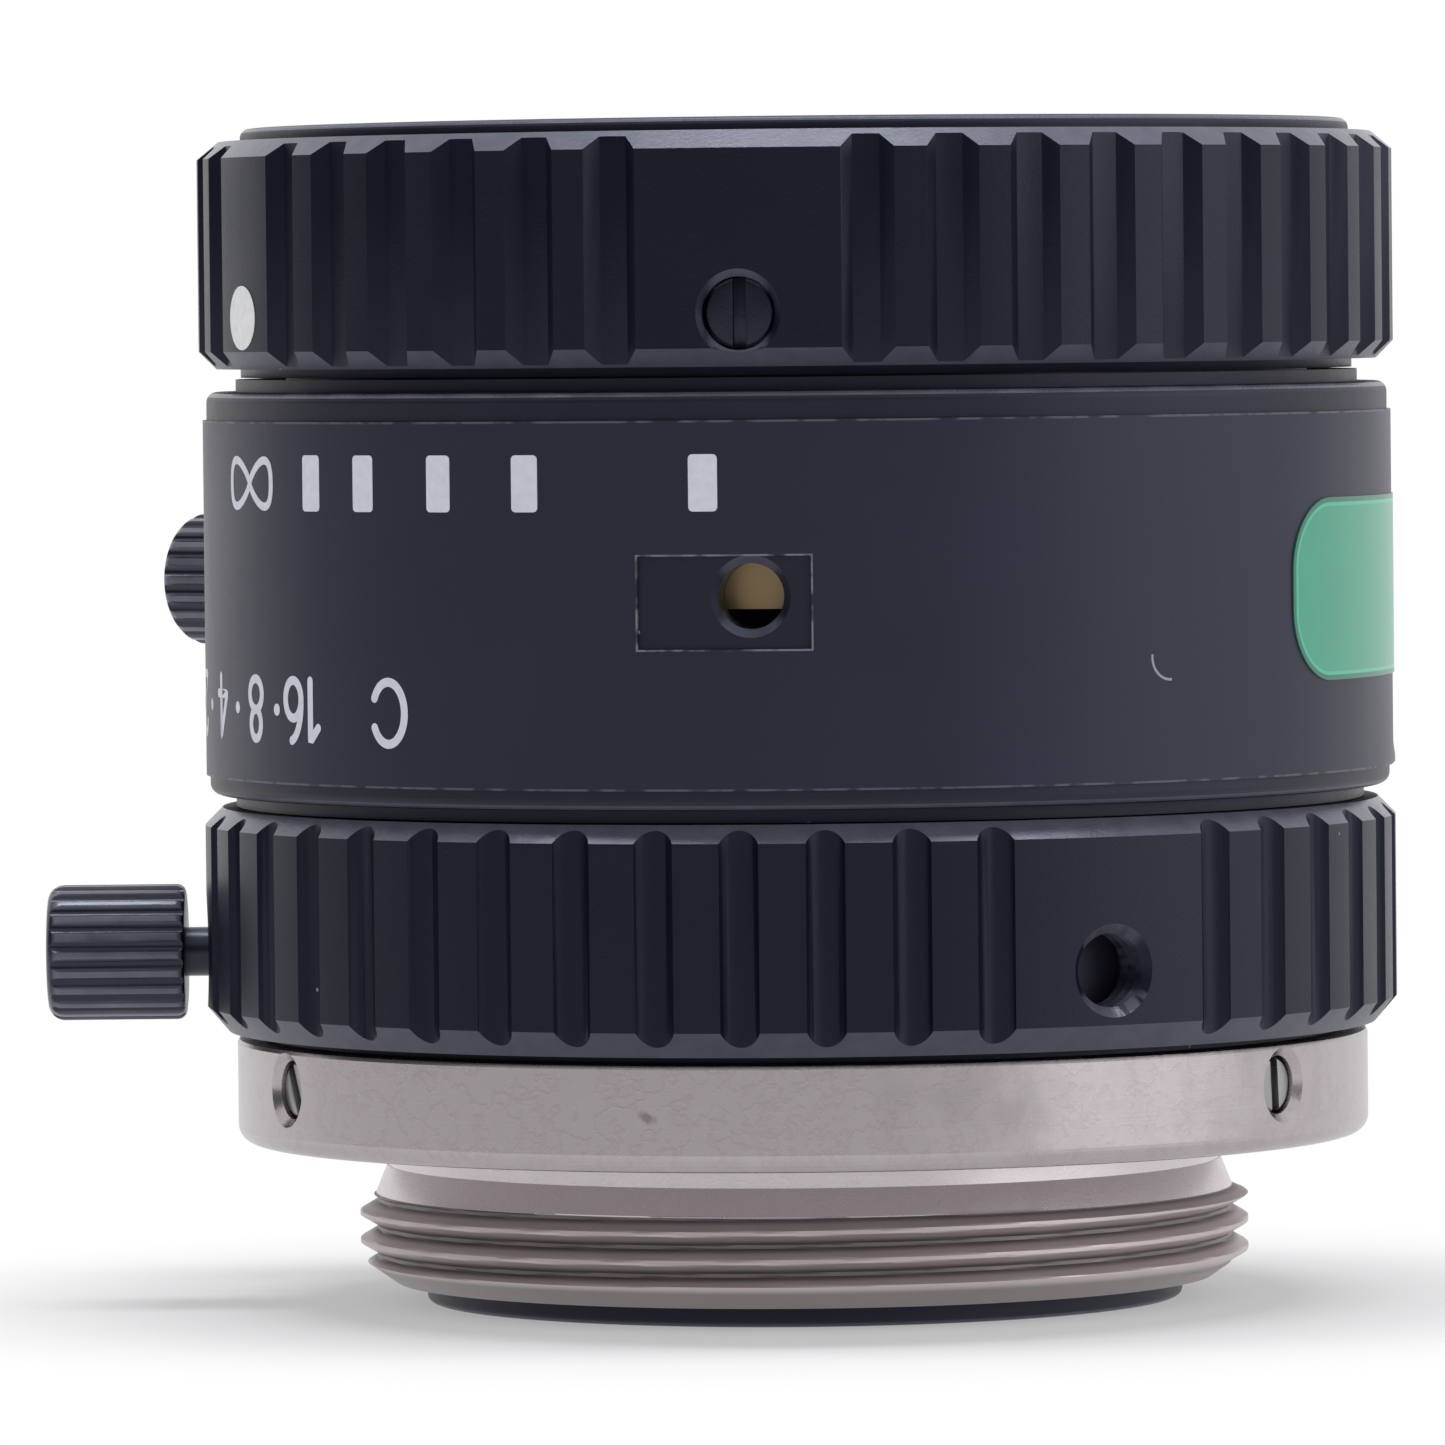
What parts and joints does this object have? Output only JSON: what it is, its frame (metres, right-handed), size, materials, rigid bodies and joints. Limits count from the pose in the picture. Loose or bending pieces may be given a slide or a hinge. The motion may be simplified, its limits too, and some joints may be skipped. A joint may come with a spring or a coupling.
{
  "type": "c-mount machine vision lens",
  "caption": "Compact fixed focal length lens with a threaded rear mount, grooved focus and iris rings, lock screws, helicoid and bladed iris.",
  "frame": {"origin": "centre of the mount flange's seat plane, on the optical axis", "axes": "+Z along the optical axis towards the front, -Y towards the viewer of the picture, +X to the viewer's right"},
  "size_m": [0.0386, 0.034, 0.0336],
  "materials": {
    "satin_nickel": "satin nickel plated",
    "screw_steel": "turned",
    "black_anodised": "black anodised",
    "black_grip": "satin black anodised",
    "scale_film": "printed satin film",
    "green_label": "printed label",
    "black_screw": "black oxide",
    "brass": "turned",
    "coated_glass": "coated optical glass",
    "blade_steel": "blackened"
  },
  "bodies": {
    "barrel": {"mount_ring": "satin_nickel", "mount_set_screws": "screw_steel", "rear_baffle": "black_anodised", "main_barrel": "black_anodised", "scale_band": "scale_film", "side_label": "green_label", "guide_key": "screw_steel", "sleeve_keeper": "black_anodised"},
    "iris_grip": {"iris_ring": "black_grip", "iris_drive_pin": "screw_steel"},
    "iris_lock": {"iris_lock_screw": "black_screw"},
    "focus_lock": {"focus_lock_screw": "black_screw"},
    "focus_grip": {"focus_ring": "black_grip", "focus_set_screws": "black_screw", "helicoid_sleeve": "brass"},
    "optical_cell": {"cell_barrel": "black_anodised", "front_barrel": "black_anodised", "name_ring": "black_anodised", "lens_1": "coated_glass", "front_spacer": "black_anodised", "lens_2": "coated_glass", "inner_spacer": "black_anodised", "lens_3": "coated_glass", "pivot_plate": "black_anodised", "rear_cell": "black_anodised", "lens_4": "coated_glass", "lens_5": "coated_glass", "rear_spacer": "black_anodised", "lens_6": "coated_glass", "rear_retainer": "black_anodised"},
    "iris_cam": {"cam_ring": "brass"},
    "leaf_1": {"blade_1": "blade_steel"},
    "leaf_2": {"blade_2": "blade_steel"},
    "leaf_3": {"blade_3": "blade_steel"},
    "leaf_4": {"blade_4": "blade_steel"},
    "leaf_5": {"blade_5": "blade_steel"},
    "leaf_6": {"blade_6": "blade_steel"}
  },
  "joints": [
    {"name": "focus_turn", "type": "hinge", "parent": "barrel", "child": "focus_grip", "pos_m": [0, 0, 0.0236], "axis": [0, 0, 1], "range_deg": [0, 56]},
    {"name": "focus_slide", "type": "slide", "parent": "barrel", "child": "optical_cell", "axis": [0, 0, 1], "range_m": [0, 0.0012]},
    {"name": "iris_turn", "type": "hinge", "parent": "barrel", "child": "iris_grip", "pos_m": [0, 0, 0.0064], "axis": [0, 0, 1], "range_deg": [0, 47.4]},
    {"name": "cam_turn", "type": "hinge", "parent": "optical_cell", "child": "iris_cam", "pos_m": [0, 0, 0.006], "axis": [0, 0, 1], "range_deg": [0, 47.4]},
    {"name": "leaf_1_turn", "type": "hinge", "parent": "optical_cell", "child": "leaf_1", "pos_m": [0, -0.0081, 0.01], "axis": [0, 0, 1], "range_deg": [0, 45]},
    {"name": "leaf_2_turn", "type": "hinge", "parent": "optical_cell", "child": "leaf_2", "pos_m": [0.00701, -0.00405, 0.00985], "axis": [0, 0, 1], "range_deg": [0, 45]},
    {"name": "leaf_3_turn", "type": "hinge", "parent": "optical_cell", "child": "leaf_3", "pos_m": [0.00701, 0.00405, 0.0097], "axis": [0, 0, 1], "range_deg": [0, 45]},
    {"name": "leaf_4_turn", "type": "hinge", "parent": "optical_cell", "child": "leaf_4", "pos_m": [0, 0.0081, 0.00955], "axis": [0, 0, 1], "range_deg": [0, 45]},
    {"name": "leaf_5_turn", "type": "hinge", "parent": "optical_cell", "child": "leaf_5", "pos_m": [-0.00701, 0.00405, 0.0094], "axis": [0, 0, 1], "range_deg": [0, 45]},
    {"name": "leaf_6_turn", "type": "hinge", "parent": "optical_cell", "child": "leaf_6", "pos_m": [-0.00701, -0.00405, 0.00925], "axis": [0, 0, 1], "range_deg": [0, 45]},
    {"name": "iris_lock_turn", "type": "hinge", "parent": "iris_grip", "child": "iris_lock", "pos_m": [-0.016, -0.00007, 0.0054], "axis": [-1, -0.0045, 0], "range_deg": [0, 360]},
    {"name": "focus_lock_turn", "type": "hinge", "parent": "barrel", "child": "focus_lock", "pos_m": [-0.0132, 0.00904, 0.0158], "axis": [-0.8251, 0.565, 0], "range_deg": [0, 360]}
  ],
  "couplings": [
    {"joint": "focus_slide", "follows": "focus_turn", "m_per_rad": 0.0012277},
    {"joint": "cam_turn", "follows": "iris_turn", "ratio": 1},
    {"joint": "leaf_1_turn", "follows": "iris_turn", "ratio": 0.9493},
    {"joint": "leaf_2_turn", "follows": "iris_turn", "ratio": 0.9493},
    {"joint": "leaf_3_turn", "follows": "iris_turn", "ratio": 0.9493},
    {"joint": "leaf_4_turn", "follows": "iris_turn", "ratio": 0.9493},
    {"joint": "leaf_5_turn", "follows": "iris_turn", "ratio": 0.9493},
    {"joint": "leaf_6_turn", "follows": "iris_turn", "ratio": 0.9493}
  ]
}
